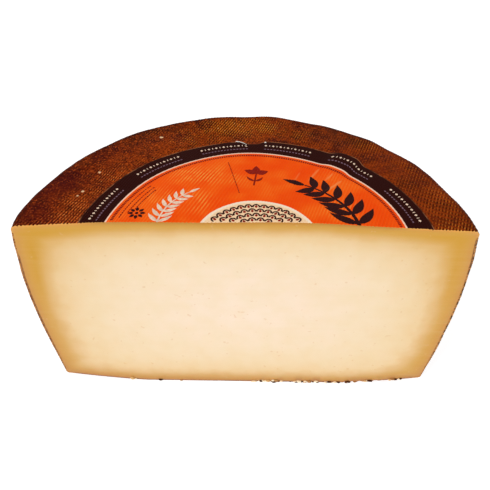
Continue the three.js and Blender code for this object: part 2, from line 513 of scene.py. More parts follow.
def top_relief(x, y, sizes):
    """Height of the rind above the uneven top, with the cloth's turns, strength and wear."""
    marks = top_marks(x, y, sizes)
    calm = 1 - 0.4 * bell(label_reach(x, y) - LABEL_RADIUS - 1.0, 1.5)
    flat = flat_points(x, y, RIM_HIGH)
    size, height, seed = PITS
    marks["strength"] = marks["strength"] * calm
    rise = cloth(marks["ribs"], marks["threads"]) * marks["strength"] - 0.25
    open_rind = sizes.rib_height / MM * rise + height * noise(flat, size, seed)
    bed, _ = bed_marks(x, y, sizes)
    return blend(open_rind, bed, label_cover(x, y)), marks


# Grids, patches and pieces.


class Patch(NamedTuple):
    """A stretch of surface: its points and triangles, its material, and values on its points."""

    points: np.ndarray
    triangles: np.ndarray
    material: int
    values: dict


def grid_patch(points, material=0, **values):
    """A patch from a grid of points. Its faces look along rows crossed with columns."""
    rows, columns = points.shape[:2]
    index = np.arange(rows * columns).reshape(rows, columns)
    corners = [index[:-1, :-1], index[1:, :-1], index[1:, 1:], index[:-1, 1:]]
    quads = np.stack(corners, -1).reshape(-1, 4)
    triangles = np.concatenate([quads[:, [0, 1, 2]], quads[:, [0, 2, 3]]])
    flat = {name: np.broadcast_to(value, (rows, columns)).ravel() for name, value in values.items()}
    return Patch(points.reshape(-1, 3), triangles, material, flat)


def run_shares(line):
    """How far along its length each point of a line after the first lies, from 0 to 1."""
    run = np.cumsum(np.linalg.norm(np.diff(line, axis=0), axis=1))
    return run / run[-1]


def zip_patch(first, second, material=0, **values):
    """A patch between two lines that run side by side: each step of one is joined to the point that lies
    as far along the other."""
    ends = [run_shares(line) for line in (first, second)]
    here = np.arange(len(first) - 1)
    there = len(first) + np.arange(len(second) - 1)
    met = len(first) + np.searchsorted(ends[1], ends[0], side="left")
    left = np.searchsorted(ends[0], ends[1], side="right")
    steps = [np.stack([here, met, here + 1], -1), np.stack([left, there, there + 1], -1)]
    points = np.concatenate([first, second])
    flat = {name: np.broadcast_to(value, len(points)) for name, value in values.items()}
    return Patch(points, np.concatenate(steps), material, flat)


def sheet_patches(upper, lower, **values):
    """Patches of a thin closed sheet between two grids of the same size."""
    strips = [
        np.stack([lower[0], upper[0]]),
        np.stack([upper[-1], lower[-1]]),
        np.stack([lower[:, 0], upper[:, 0]])[:, ::-1],
        np.stack([upper[:, -1], lower[:, -1]])[:, ::-1],
    ]
    patches = [grid_patch(upper, **values), grid_patch(lower[::-1])]
    return patches + [grid_patch(strip) for strip in strips]


def to_frame(points):
    """Points of the wheel's frame, in millimetres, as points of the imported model's frame, in metres."""
    return np.asarray(points) * MM + AXIS


def axis_in_frame():
    """Where the wheel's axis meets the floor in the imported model's frame.

    The model's box starts at the knife's plane and is as wide as the side at both ends of the cut.
    """
    low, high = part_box("cheese_half")
    heights = np.linspace(RIM_LOW + ROUND_LOW, RIM_HIGH - ROUND_HIGH, 200)
    radius = side_at(heights)
    start = np.arcsin(CUT_FROM_AXIS / radius)
    ends = [radius * np.cos(angle) for angle in (start, math.pi - start)]
    x = np.stack(ends)
    y = np.full_like(x, CUT_FROM_AXIS)
    z = np.broadcast_to(heights, x.shape)
    wide = uneven(np.stack([x, y, z], -1))[..., 0]
    middle = (wide.max() + wide.min()) / 2
    return np.array([(low.x + high.x) / 2 - middle * MM, low.y - CUT_FROM_AXIS * MM, low.z])


AXIS = axis_in_frame()


def make_piece(name, patches, materials, nodes=()):
    """Makes one object from patches.

    Points that share a place become one vertex, triangles that lose a corner are dropped, and edges
    between patches are sharp.
    """
    starts = np.cumsum([0] + [len(patch.points) for patch in patches])
    points = np.concatenate([patch.points for patch in patches])
    triangles = np.concatenate([patch.triangles + start for patch, start in zip(patches, starts)])
    owner = np.concatenate([np.full(len(patch.triangles), i) for i, patch in enumerate(patches)])
    places, first, index = np.unique(
        np.round(points * 1e4).astype(np.int64), axis=0, return_index=True, return_inverse=True
    )
    triangles = index.reshape(-1)[triangles]
    a, b, c = triangles.T
    whole = (a != b) & (b != c) & (c != a)
    triangles, owner = triangles[whole], owner[whole]
    mesh = bpy.data.meshes.new(name)
    mesh.vertices.add(len(places))
    mesh.vertices.foreach_set("co", to_frame(points[first]).ravel())
    mesh.loops.add(triangles.size)
    mesh.loops.foreach_set("vertex_index", triangles.ravel())
    mesh.polygons.add(len(triangles))
    mesh.polygons.foreach_set("loop_start", np.arange(0, triangles.size, 3))
    slots = np.array([patch.material for patch in patches])
    mesh.polygons.foreach_set("material_index", slots[owner])
    mesh.update(calc_edges=True)
    mesh.polygons.foreach_set("use_smooth", np.ones(len(triangles), bool))
    for key in sorted({key for patch in patches for key in patch.values}):
        values = np.zeros(len(places))
        for start, patch in zip(starts, patches):
            if key in patch.values:
                values[index.reshape(-1)[start : start + len(patch.points)]] = patch.values[key]
        mesh.attributes.new(key, "FLOAT", "POINT").data.foreach_set("value", values)
    mark_sharp(mesh, owner)
    for material in materials:
        mesh.materials.append(material)
    piece = bpy.data.objects.new(name, mesh)
    bpy.context.scene.collection.objects.link(piece)
    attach(piece, "root")
    if nodes:
        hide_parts(*nodes)
    return piece


def mark_sharp(mesh, owner):
    """Marks the edges between different patches as sharp."""
    edge = np.empty(len(mesh.loops), np.int32)
    mesh.loops.foreach_get("edge_index", edge)
    patch = np.repeat(owner, 3)
    low = np.full(len(mesh.edges), len(owner))
    high = np.full(len(mesh.edges), -1)
    np.minimum.at(low, edge, patch)
    np.maximum.at(high, edge, patch)
    mesh.attributes.new("sharp_edge", "BOOLEAN", "EDGE").data.foreach_set("value", low != high)


def arc(radius, columns, centre=(0.0, 0.0)):
    """Points of a circle's kept stretch in x and y, from its right end on the knife's plane to its left."""
    start = math.asin((CUT_FROM_AXIS - centre[1]) / radius)
    angle = np.linspace(start, math.pi - start, columns)
    return np.stack([centre[0] + radius * np.cos(angle), centre[1] + radius * np.sin(angle)], -1)


def on_knife(points):
    """The same grid with the ends of its rows put exactly on the knife's plane."""
    points = points.copy()
    points[:, 0, 1] = CUT_FROM_AXIS
    points[:, -1, 1] = CUT_FROM_AXIS
    return points


def bezier(start, corner, end, count):
    """Points of a quadratic curve with one control point."""
    t = np.linspace(0, 1, count)[:, None]
    return (1 - t) ** 2 * np.array(start) + 2 * t * (1 - t) * np.array(corner) + t**2 * np.array(end)


def side_profile(count, start=SEAM_HIGH):
    """Radius and height of the rind's section from the upper seam down round the lower rim to the lower
    seam, with its outward direction."""
    low_up = RIM_LOW + ROUND_LOW
    low_in = RIM_RADIUS - ROUND_LOW
    heights = np.linspace(start, low_up, count)
    straight = np.stack([side_at(heights), heights], -1)
    turn = bezier(straight[-1], (RIM_RADIUS - SIDE_INSET / 2, RIM_LOW), (low_in, foot_at(low_in)), 6)
    radii = np.linspace(low_in, SEAM_LOW_RADIUS, 4)
    under = np.stack([radii, foot_at(radii)], -1)
    profile = np.concatenate([straight, turn[1:], under[1:]])
    step = np.gradient(profile, axis=0)
    out = np.stack([-step[:, 1], step[:, 0]], -1)
    out /= np.linalg.norm(out, axis=1, keepdims=True)
    out[0] = (1, 0)
    return profile, out


def spun(profile, columns):
    """A grid of the true wheel's points: each profile point carried round the kept half."""
    rows = [np.insert(arc(radius, columns), 2, height, axis=1) for radius, height in profile]
    return np.stack(rows)


def pushed(points, out, height):
    """Points moved outwards by a height, along the radius and upwards in the shares that out gives."""
    x, y = points[..., 0], points[..., 1]
    radius = np.hypot(x, y)
    along, upward = out[:, :1] * height, out[:, 1:] * height
    return points + np.stack([along * x / radius, along * y / radius, upward], -1)


def side_grid(count, columns, depth, start=SEAM_HIGH):
    """The rind's side, sunk by a depth under the lumpy surface, as a grid of points and its true points."""
    profile, out = side_profile(count, start)
    true = spun(profile, columns)
    return on_knife(pushed(uneven(true), out, lumps_at(true) - depth)), true, out


# The half wheel.


def top_grid(sizes):
    """The top from the knife's edge under the label out to the seam below the rim, with its values.

    Rows run outwards. The first lie between the knife's edge and a circle under the label, the next
    between that circle and the rim, and the last follow the rounded rim down to the seam.
    """
    tuck = arc(LABEL_TUCK, TOP_COLUMNS, LABEL_CENTRE)
    edge_x = np.linspace(tuck[0, 0], tuck[-1, 0], TOP_COLUMNS)
    edge = np.stack([edge_x, np.full(TOP_COLUMNS, CUT_FROM_AXIS)], -1)
    round_start = RIM_RADIUS - ROUND_HIGH
    shares = np.array([0, 0.004, 0.02, 0.12, 0.45])
    rim = arc(round_start, TOP_COLUMNS)
    hidden = blend(edge, tuck, shares[:, None, None])
    shown = blend(tuck, rim, np.linspace(0, 1, TOP_ROWS)[:, None, None])
    flat = np.concatenate([hidden, shown])
    height = crown_at(np.hypot(flat[..., 0], flat[..., 1]))
    side_start = RIM_HIGH - ROUND_HIGH
    ends = (round_start, crown_at(round_start)), (side_at(side_start), side_start)
    curve = bezier(ends[0], (RIM_RADIUS, RIM_HIGH), ends[1], ROUND_ROWS)
    curve = np.concatenate([curve[1:], [(side_at(SEAM_HIGH), SEAM_HIGH)]])
    true = np.concatenate([np.concatenate([flat, height[..., None]], -1), spun(curve, TOP_COLUMNS)])
    turned = np.concatenate([np.zeros(len(flat)), np.linspace(0, 1, len(curve) + 1)[1:]])
    fade = 1 - smooth(turned, 0.15, 1)
    out = np.stack([np.sin(turned * math.pi / 2), np.cos(turned * math.pi / 2)], -1)
    x, y = true[..., 0], true[..., 1]
    relief, values = top_relief(x, y, sizes)
    column = np.arange(TOP_COLUMNS)
    inner = smooth(np.minimum(column, column[::-1]), 0, 8)
    sunk = np.zeros(true.shape[:2])
    sunk[2 : len(shares)] = HIDDEN_SUNK * inner
    lift = relief * fade[:, None] + lumps_at(true) * (1 - label_cover(x, y))
    points = on_knife(pushed(uneven(true), out, lift - sunk))
    points[0, :, 1] = CUT_FROM_AXIS
    values["strength"] = values["strength"] * fade[:, None]
    radius = np.hypot(x, y)
    # How strongly painted shade darkens the rind: half just before the rounded rim, rising over it.
    edge = 0.5 * smooth(radius, round_start - 1.2, round_start)
    values["rim"] = np.maximum(edge, smooth(turned, -0.2, 0.5)[:, None] * (turned > 0)[:, None])
    left = 1 - smooth(x, -30, 0)
    warm = spots_at(x, y, WARM_SPOTS) + 0.35 * left * beside_label(x, y, 6)
    dusk = spots_at(x, y, DUSK_SPOTS) + 0.3 * left * smooth(radius, 80, 88)
    values["fleck"] = spots_at(x, y, PALE_FLECKS)
    values["warm"] = np.clip(warm, 0, 1)
    values["dusk"] = np.clip(dusk, 0, 1)
    values["wine"] = np.clip(spots_at(x, y, WINE_SPOTS), 0, 1)
    return points, values


def foot_grid(edge_x):
    """The underside from the lower seam in to the knife's edge, and that edge's line of points."""
    rim = arc(SEAM_LOW_RADIUS, HIDDEN_COLUMNS)
    wide = np.linspace(rim[0, 0], rim[-1, 0], HIDDEN_COLUMNS)
    near = np.stack([wide, np.full(HIDDEN_COLUMNS, CUT_FROM_AXIS)], -1)
    shares = np.linspace(1, 0.03, FOOT_ROWS)
    flat = blend(near, rim, shares[:, None, None])
    radius = np.hypot(flat[..., 0], flat[..., 1])
    true = np.concatenate([flat, foot_at(radius)[..., None]], -1)
    outer = smooth(radius, FOOT_RADIUS, SEAM_LOW_RADIUS)
    grid = uneven(true)
    grid[..., 2] = np.maximum(grid[..., 2] - lumps_at(true) * outer, 0)
    line = flat_points(edge_x, np.full_like(edge_x, CUT_FROM_AXIS))
    line[:, 2] = foot_at(np.hypot(edge_x, CUT_FROM_AXIS))
    line = uneven(line)
    line[:, 1] = CUT_FROM_AXIS
    ragged = smooth(edge_x, 8, 20) * (1 - smooth(edge_x, 74, 84))
    rough = 0.12 + 0.85 * ragged
    chips = np.clip(noise(line, 1.9, 31) + 0.5 * noise(line, 0.8, 32), 0, 1)
    ends = smooth(SEAM_LOW_RADIUS - np.abs(edge_x), 1, 4)
    line[:, 2] += ends * rough * chips
    return on_knife(grid), line


def foot_edge_x(top_x, end_left, end_right):
    """Places along the foot of the cut: those of the top edge in the middle, evenly spaced outside."""
    middle = top_x[np.abs(top_x) <= SPINE_HALF]
    right = np.linspace(end_right, middle[0], FOOT_END_COLUMNS)[:-1]
    left = np.linspace(middle[-1], end_left, FOOT_END_COLUMNS)[1:]
    return np.concatenate([right, middle, left])


def cut_values(points):
    """Values on the cut face: depth under its outline, nearness of the upper corners, the ochre band
    inside the sides and corners, the distance from the outside of the rind, the tan skin at the sides and
    the foot, and the light lip beside the upper corners."""
    x, z = points[..., 0], points[..., 2]
    radius = np.hypot(x, CUT_FROM_AXIS)
    from_top = np.maximum(crown_at(radius) + ripple_at(x, np.full_like(x, CUT_FROM_AXIS)) - z, 0.05)
    from_side = np.maximum(side_at(z) - radius, 0.05)
    from_foot = np.maximum(z - foot_at(radius), 0.05)
    parts = [from_top, from_side / 1.9, from_foot / 1.4]
    depth = sum(part**-2.0 for part in parts) ** -0.5
    corner = np.exp(-from_top * from_side / 260) * smooth(depth, 0.3, 3.0)
    level = z / RIM_HIGH
    from_corner = np.hypot(from_side, from_foot)
    beside = bell(from_side - blend(2.0, 6.8, level), blend(1.8, 3.9, level)) * smooth(z, 45, 92)
    hook = bell(np.sqrt(from_side * from_foot) - 9, 3.5) * bell(from_corner, 26.46) * smooth(x, 20, 60)
    below = 1.1 * bell(from_top - 4.2, 2.7) * bell(from_side, 28)
    lip = np.exp(-from_top / 0.7) * smooth(np.abs(x), 55, 68)
    bare_corner = 1 - smooth(from_top, blend(3, 1, x > 0), blend(9, 4, x > 0))
    shell = np.minimum(from_side + 3 * bare_corner, from_foot) + 0.9 * bell(from_corner, 3)
    pink = np.exp(-np.minimum(from_side, 1.3 * from_foot) / 2.8)
    flat = np.stack([x, np.zeros_like(x), z], -1)
    cloudy = np.clip(0.35 + 1.1 * noise(flat, 3.2, 33), 0, 1)
    stretch = smooth(x, 6, 14) * (1 - 0.5 * smooth(x, 50, 70))
    under = np.clip(np.exp(-from_foot / 2.9) + 1.2 * stretch * cloudy * bell(from_foot, 3.4), 0, 1.2)
    band = np.maximum(np.maximum(beside, below) * blend(1.35, 1, x > 0), 0.9 * hook)
    names = ("depth", "corner", "band", "shell", "pink", "under", "lip")
    return dict(zip(names, (depth, corner, band, shell, pink, under, lip)))


def calmed(line):
    """A line of points with its ribs averaged out: a bell-weighted mean over neighbours."""
    weights = np.hanning(CALM_REACH + 2)[1:-1]
    padded = np.pad(line, ((CALM_REACH // 2, CALM_REACH // 2), (0, 0)), mode="edge")
    parts = [weight * padded[k : k + len(line)] for k, weight in enumerate(weights)]
    return sum(parts) / weights.sum()


def cut_grid(edge, top_edge, low_edge):
    """The cut face as rings from its outline in to the middle line, and the values on it.

    The outline runs along the foot's edge, the top's and the lower right side's. Its first ring is the
    outline itself. The others start from the outline with the top's ribs averaged out, so that no ring
    folds over the next.
    """
    loop = np.concatenate([edge, top_edge, low_edge])
    calm = np.concatenate([edge, calmed(top_edge), low_edge])
    middle = np.clip(calm[:, 0], -SPINE_HALF, SPINE_HALF)
    spine = np.stack([middle, calm[:, 1], np.full(len(calm), SPINE_HEIGHT)], -1)
    shares = np.array(RINGS)[:, None, None] / RINGS[-1]
    rings = blend(calm, spine, shares)
    rings[0] = loop
    rings[-1] = spine
    return rings, cut_values(rings)


def half_wheel_patches(sizes):
    """All patches of the half wheel: top and rim, hidden side, underside, and the cut face."""
    top, top_values = top_grid(sizes)
    side, _, _ = side_grid(HIDDEN_ROWS, HIDDEN_COLUMNS, RECESS, SEAM_HIGH - 2 * RECESS)
    seam_low, _, _ = side_grid(HIDDEN_ROWS, HIDDEN_COLUMNS, 0)
    edge_x = foot_edge_x(top[0, :, 0], seam_low[-1, -1, 0], seam_low[-1, 0, 0])
    foot, foot_line = foot_grid(edge_x)
    foot[0] = seam_low[-1]
    foot_line[[0, -1]] = foot[0][[0, -1]]
    foot[:, 0] = foot[0, 0]
    foot[:, -1] = foot[0, -1]
    up_left = np.concatenate([foot_line, side[::-1, -1]])
    along_top = np.concatenate([top[::-1, -1], top[0, ::-1], top[:, 0]])
    down_right = np.concatenate([side[:, 0], foot_line[:1]])
    rings, values = cut_grid(up_left, along_top, down_right)
    return [
        grid_patch(top, 0, **top_values),
        # The strip from the rim down to the hidden side gets full painted rim shade.
        zip_patch(top[-1], side[0], 0, rim=1.0),
        grid_patch(side, 0),
        zip_patch(side[-1], foot[0], 2),
        grid_patch(foot, 2),
        zip_patch(foot[-1], foot_line, 2),
        grid_patch(rings, 1, **values),
    ]


def side_rind_patches(sizes):
    """The side's rind as a thin closed skin: cloth-marked outside, plain inside, cut ends."""
    outer, true, out = side_grid(SIDE_ROWS, SIDE_COLUMNS, 0)
    inner, _, _ = side_grid(HIDDEN_ROWS, HIDDEN_COLUMNS, RECESS + 0.05)
    x, y, z = np.moveaxis(true, -1, 0)
    run = RIM_RADIUS * np.arctan2(y, x)
    size, reach, seed = RIB_BEND
    place = np.stack([run, np.zeros_like(run), z], -1)
    across = run + 0.6 * reach * noise(place, size, seed + 2)
    along = z + 0.6 * reach * noise(place, size, seed + 3)
    ribs = across / (sizes.side_pitch / MM)
    crossing = along / (sizes.weave_pitch / MM)
    # Wear with painted highlights on the ridges, in random patches.
    worn = np.clip(0.5 * noise(place, 15.0, 23) + 0.45 * noise(place, 5.0, 24), 0, 1)
    strength = np.clip(0.62 + 0.38 * noise(place, 12.0, 25) + 0.3 * worn, 0.15, 1)
    below = smooth(SEAM_HIGH - z, 0.4, 3.5) * smooth(np.arange(len(z))[::-1, None], 0, 3)
    size, height, seed = PITS
    mark = cloth(ribs, crossing) + 0.45 * np.sin(TURN * crossing)
    rise = sizes.side_height / MM * strength * mark + height * noise(true, size, seed)
    outer = on_knife(pushed(outer, out, rise * below))
    for grid in (outer, inner):
        grid[:, [0, -1], 1] -= CUT_PROUD
    values = {"ribs": ribs, "threads": crossing, "strength": strength * below, "worn": worn}
    # Painted shade of the rounded rim, fading down the side's first 5 mm.
    values["rim"] = 1 - smooth(SEAM_HIGH - z, 0, 5)
    return [
        grid_patch(outer, 0, **values),
        grid_patch(inner[::-1], 1),
        zip_patch(inner[0], outer[0], 1),
        zip_patch(outer[-1], inner[-1], 1),
        zip_patch(outer[:, 0], inner[:, 0], 1),
        zip_patch(inner[:, -1], outer[:, -1], 1),
    ]


# The label and its print.


def flaw_at(radius, angle, flaw_angle, start, half_width):
    """How fully a place is inside a flaw of the label's edge: eased along the radius, a flat-topped bell
    across it."""
    across = (angle - flaw_angle) * LABEL_RADIUS / half_width
    return smooth(radius, start, LABEL_RADIUS) * np.exp(-(across**4))


def lay_on_top(flat, lift, sizes):
    """Places of the flat label, from its centre, laid on the rind, and the pressed ribs' values there.

    The waver, the fold's push and the tear change the reach from the centre, and the height is that of
    the uneven top with the pressed ribs, the fold and the lift.
    """
    x, y = flat[..., 0], flat[..., 1]
    radius = np.hypot(x, y)
    angle = np.arctan2(y, x)
    fold = flaw_at(radius, angle, FOLD_ANGLE, FOLD_START, FOLD_HALF_WIDTH)
    tear = flaw_at(radius, angle, TEAR_ANGLE, TEAR_START, TEAR_HALF_WIDTH)
    waver = wave_sum(LABEL_WAVES, angle, 0) * radius / LABEL_RADIUS
    reach = radius + waver + FOLD_PUSH * fold - TEAR_DEPTH * tear
    at_x = reach * np.cos(angle) + LABEL_CENTRE[0]
    at_y = reach * np.sin(angle) + LABEL_CENTRE[1]
    bed, marks = bed_marks(at_x, at_y, sizes)
    rest = crown_at(np.hypot(at_x, at_y)) + ripple_at(at_x, at_y)
    height = rest + bed + LABEL_CLEAR + FOLD_HEIGHT * fold + crease_at(x, y) + lift
    return np.stack([at_x, at_y, height], -1), marks


def crease_at(x, y):
    """Height of the faint creases that run from the fold into the label: narrow ridges along rays."""
    total = np.zeros_like(x)
    for turn, start, end, height in CREASES:
        angle = math.radians(turn)
        along = x * math.cos(angle) + y * math.sin(angle)
        across = y * math.cos(angle) - x * math.sin(angle)
        stretch = smooth(along, start, start + 8) * (1 - smooth(along, end - 5, end))
        total += height * stretch * bell(across, CREASE_HALF_WIDTH)
    return total


def label_patches(sizes):
    """The label as a thin closed sheet: its printed face, its back, and the edges between."""
    paper = sizes.paper / MM
    rim = arc(LABEL_RADIUS, LABEL_COLUMNS, LABEL_CENTRE) - LABEL_CENTRE
    edge_x = np.linspace(rim[0, 0], rim[-1, 0], LABEL_COLUMNS)
    edge = np.stack([edge_x, np.full(LABEL_COLUMNS, LABEL_NEAR)], -1)
    shares = np.linspace(0, 1, LABEL_ROWS)
    back_rows = np.union1d(np.arange(0, LABEL_ROWS, LABEL_BACK_STEP), [1, LABEL_ROWS - 2, LABEL_ROWS - 1])
    flat = blend(edge, rim, shares[:, None, None])
    face, marks = lay_on_top(flat, paper, sizes)
    off = (CUT_FROM_AXIS - face[0, :, 1]) * (1 - shares[:, None])
    face[..., 1] += off
    face = on_knife(face)
    back = face[back_rows].copy()
    back[2:-2, :, 2] -= HIDDEN_SUNK
    back[[0, 1, -2, -1], :, 2] -= paper
    x, y = flat[..., 0], flat[..., 1]
    # crease carries the creases' height, which sets their painted highlight.
    values = {"reach": np.hypot(x, y), "crease": crease_at(x, y) / 0.3, **marks}
    # Spots of painted highlight on the pressed ribs.
    values["hatch"] = np.clip(spots_at(x, y, RIB_HIGHLIGHT_SPOTS), 0, 1)
    turned = {"reach": np.full(back.shape[:2], LABEL_RADIUS + 5)}
    return [
        grid_patch(face, 0, **values),
        grid_patch(back[::-1], 0, **turned),
        grid_patch(np.stack([back[0], face[0]]), 0, reach=values["reach"][0]),
        grid_patch(np.stack([face[-1], back[-1]]), 0, reach=LABEL_RADIUS + 5),
    ]


def facing_up(shape, laid):
    """The laid grid of a flat shape, mirrored where its faces would look down."""
    turned = np.linalg.det(np.stack([shape[-1, 0] - shape[0, 0], shape[0, -1] - shape[0, 0]])) < 0
    return laid[:, ::-1] if turned else laid


def stroke(path, half_width, across=3):
    """A flat brush stroke: a path widened to both sides by a half width that changes along it."""
    path = np.asarray(path, float)
    step = np.gradient(path, axis=0)
    side = np.stack([-step[:, 1], step[:, 0]], -1)
    side /= np.linalg.norm(side, axis=1, keepdims=True)
    reach = np.broadcast_to(half_width, len(path))[:, None, None] * side[:, None]
    return path[:, None] + reach * np.linspace(-1, 1, across)[None, :, None]


def refined(shape, step):
    """The same stroke with its points at most a step apart, filled in along straight lines."""
    for axis in (0, 1):
        gap = np.linalg.norm(np.diff(shape, axis=axis), axis=-1).max()
        parts = max(1, math.ceil(gap / step))
        place = np.linspace(0, shape.shape[axis] - 1, (shape.shape[axis] - 1) * parts + 1)
        low = np.minimum(place.astype(int), shape.shape[axis] - 2)
        share = np.expand_dims(place - low, (1 - axis, 2))
        shape = blend(np.take(shape, low, axis), np.take(shape, low + 1, axis), share)
    return shape


def ray(angle, radius):
    """A place on the flat label from an angle in degrees and a radius."""
    return np.stack([radius * np.cos(np.radians(angle)), radius * np.sin(np.radians(angle))], -1)


def leaf(base, heading, size, width, bend=0.0, steps=14):
    """A leaf: a bent path from its base whose half width is a sine, fuller towards the base."""
    t = np.linspace(0, 1, steps)
    turn = np.radians(heading) + bend * (t - 0.5)
    hop = size / (steps - 1)
    walk = np.cumsum(np.stack([np.cos(turn), np.sin(turn)], -1) * hop, axis=0)
    return stroke(np.asarray(base) + walk - walk[0], width / 2 * np.sin(math.pi * t**0.8), 5)


def dash(angle, radius, size, height):
    """A short bar along the ring."""
    turn = math.degrees(size / 2 / radius)
    return stroke(ray(np.linspace(angle + turn, angle - turn, 3), radius), height / 2, 3)


def lozenge(angle, radius, size, height):
    """A lozenge along the ring."""
    turn = math.degrees(size / 2 / radius)
    path = ray(np.linspace(angle + turn, angle - turn, 5), radius)
    return stroke(path, height / 2 * np.array([0.04, 0.55, 1, 0.55, 0.04]), 3)


def dot(place, size):
    """A round dot: a short path whose half width follows a circle."""
    t = np.linspace(-1, 1, 9)
    path = np.asarray(place) + np.stack([t * size / 2, np.zeros(9)], -1)
    return stroke(path, size / 2 * np.sqrt(np.maximum(1 - t * t, 0.002)), 3)


def branch(turns, radius, swing, leaf_size, leaf_width, stem_width, count):
    """A branch along a ring: a stem that swings a little, with pairs of leaves and one at its tip."""
    t = np.linspace(0, 1, 60)
    angle = blend(turns[0], turns[1], t)
    path = ray(angle, radius + swing * np.sin(math.pi * t))
    shapes = [stroke(path, stem_width * (1 - 0.6 * t), 3)]
    heading = np.degrees(np.arctan2(*np.gradient(path, axis=0).T[::-1]))
    for place in np.linspace(0.06, 0.88, count):
        at = int(place * 59)
        size = leaf_size * (1 - 0.35 * place)
        for side in (-1, 1):
            shapes.append(leaf(path[at], heading[at] + side * 50, size, leaf_width, bend=-side * 0.5))
    shapes.append(leaf(path[-1], heading[-1], leaf_size * 0.8, leaf_width * 0.8))
    return shapes


def rosette(place, size, petals):
    """A small flower: petals round a dot."""
    turns = np.arange(petals) * 360 / petals + 90
    bases = np.asarray(place) + ray(turns, size * 0.18)
    petal = (size * 0.34, size * 0.2)
    shapes = [leaf(base, turn, *petal, steps=7) for base, turn in zip(bases, turns)]
    return shapes + [dot(place, size * 0.2)]


def herb(place, size):
    """A small herb with three round leaves on a stem and two slim leaves below."""
    rise = np.linspace(0, 1, 12)[:, None]
    stem = np.asarray(place) + size * blend(np.array([0, -0.5]), np.array([0.08, 0.12]), rise)
    shapes = [stroke(stem, 0.025 * size, 3)]
    shapes += [leaf(stem[-1], 90 + turn, 0.4 * size, 0.24 * size) for turn in (-68, 0, 68)]
    shapes += [leaf(stem[4], 90 + turn, 0.34 * size, 0.09 * size, bend=-turn / 50) for turn in (-50, 50)]
    return shapes


def scallops():
    """Rows of small arches inside the label's round middle, and the leaves in them."""
    arches, leaves = [], []
    for radius in ARCH_RADII:
        start = math.degrees(math.asin(LABEL_NEAR / radius)) + 3
        count = int(math.radians(180 - 2 * start) * radius / 3.2)
        pitch = (180 - 2 * start) / count
        for angle in start + pitch * (np.arange(count) + 0.5):
            middle, outward = ray(angle, radius - 1.3), ray(angle, 1.0)
            turn = np.linspace(-90, 90, 11)
            peak = 0.45 * np.cos(np.radians(turn))[:, None] * outward
            arches.append(stroke(middle + 1.35 * ray(angle + turn, 1.0) + peak, 0.34, 2))
            leaves.append(leaf(middle - 0.4 * outward, angle, 1.8, 1.1, steps=7))
    return arches, leaves


def ring_rows():
    """The ornament in the dark ring: groups of lozenges and dots above a row of short bars."""
    pale, grey = [], []
    for middle in RING_GROUPS:
        for k, angle in enumerate(middle + np.linspace(9, -9, 13)):
            shape = dash(angle, UPPER_ROW, 0.35, 1.0) if k % 2 else lozenge(angle, UPPER_ROW, 1.2, 1.3)
            pale.append(shape)
        for angle in middle + np.linspace(9.2, -9.2, 15):
            grey.append(dash(angle, LOWER_ROW, 0.85, 0.6))
    return pale, grey


def fine_rows():
    """Thin dark red marks: a row of dashes inside the pale line, three short rows and a radial row."""
    near = math.degrees(math.asin(LABEL_NEAR / 58.0))
    turns = np.arange(near + 0.9, 179.1 - near, 1.0)
    shapes = [dash(angle, INNER_DASHES, 0.66, 1.15) for angle in turns]
    for radius, first, last in SHORT_ROWS:
        shapes += [dash(angle, radius, 0.9, 0.45) for angle in np.arange(first, last, 1.35)]
    shapes += [dash(103.5, radius, 0.4, 0.7) for radius in np.arange(30, 53, 1.1)]
    return shapes


def print_patches(shapes, sizes):
    """Strokes as thin closed slips of ink that lie on the label."""
    patches = []
    paper = sizes.paper / MM
    for shape in shapes:
        shape = refined(shape, INK_STEP)
        upper, _ = lay_on_top(shape, paper + INK_LIFT, sizes)
        upper[..., 1] = np.maximum(upper[..., 1], CUT_FROM_AXIS)
        upper = facing_up(shape, upper)
        patches += sheet_patches(upper, upper - np.array([0, 0, 2 * INK_LIFT]))
    return patches


# Materials.


